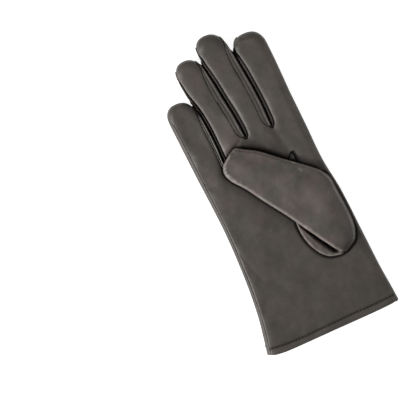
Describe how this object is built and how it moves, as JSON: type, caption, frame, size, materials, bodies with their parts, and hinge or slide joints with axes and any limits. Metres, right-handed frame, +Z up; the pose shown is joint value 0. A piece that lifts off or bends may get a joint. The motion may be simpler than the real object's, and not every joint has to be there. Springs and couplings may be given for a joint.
{
  "type": "leather dress glove",
  "caption": "Plain right-hand leather dress glove with a set-in thumb, lying on its back with the palm up; a hand slides in at the open cuff.",
  "frame": {"origin": "on the floor under the middle of the glove's bounding box", "axes": "+Y from the cuff to the fingertips, +X to the index finger and thumb, +Z up out of the palm"},
  "size_m": [0.117, 0.2644, 0.0188],
  "materials": {
    "palm_leather": "smooth satin nappa leather, dark warm grey-brown",
    "back_leather": "smooth satin nappa leather, dark warm grey-brown",
    "fourchette_leather": "smooth satin nappa leather, a little darker",
    "thumb_leather": "smooth satin nappa leather, a little lighter and redder",
    "thread": "fine dark sewing thread"
  },
  "bodies": {
    "root": {"palm_panel": "palm_leather", "back_panel": "back_leather", "fourchette_little_ring": "fourchette_leather", "fourchette_ring_middle": "fourchette_leather", "fourchette_middle_index": "fourchette_leather", "thumb": "thumb_leather"}
  },
  "joints": []
}
